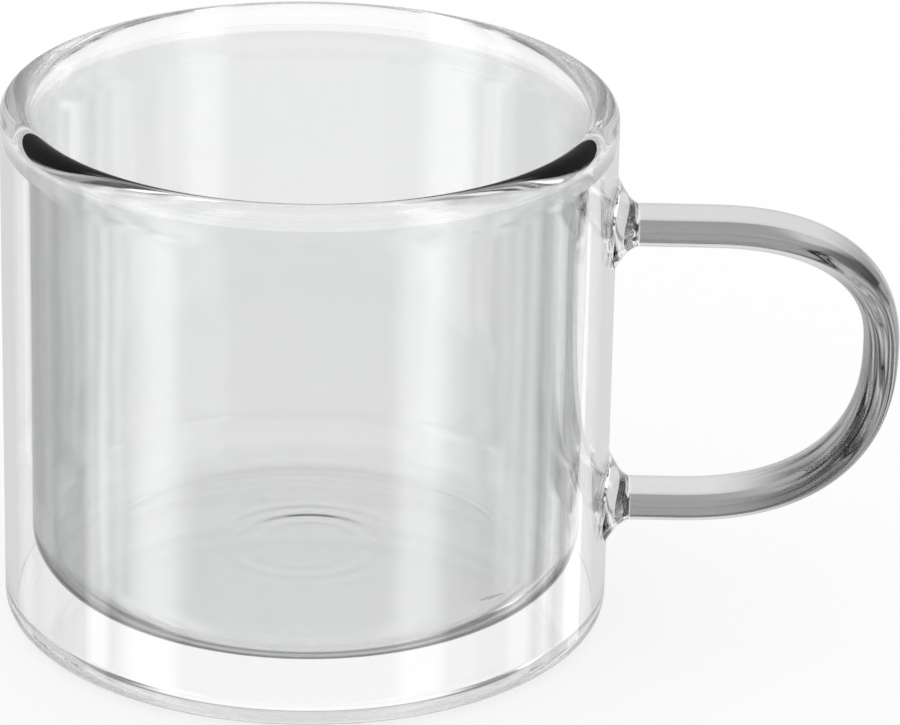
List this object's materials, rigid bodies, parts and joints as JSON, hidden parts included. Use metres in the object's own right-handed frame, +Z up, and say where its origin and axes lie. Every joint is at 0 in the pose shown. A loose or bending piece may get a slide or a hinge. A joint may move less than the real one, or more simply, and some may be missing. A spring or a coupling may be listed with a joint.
{
  "type": "double walled glass mug",
  "caption": "Straight sided double walled glass mug with a fused rim, a hanging inner liner and a smoke grey glass loop handle.",
  "frame": {"origin": "centre of the foot ring, on the table and on the axis of the cup", "axes": "+Z up along the cup's axis, +X towards the handle, +Y to the left of the handle seen from outside it"},
  "size_m": [0.1205, 0.082, 0.073],
  "materials": {
    "clear_glass": "clear polished borosilicate glass",
    "liner_glass": "faintly smoke tinted polished borosilicate glass",
    "smoke_glass": "smoke grey polished borosilicate glass"
  },
  "bodies": {
    "root": {"outer_wall": "clear_glass", "inner_liner": "liner_glass", "rim_ring": "clear_glass", "vent_seal": "clear_glass", "handle": "smoke_glass", "upper_weld": "clear_glass", "lower_weld": "clear_glass"}
  },
  "joints": []
}
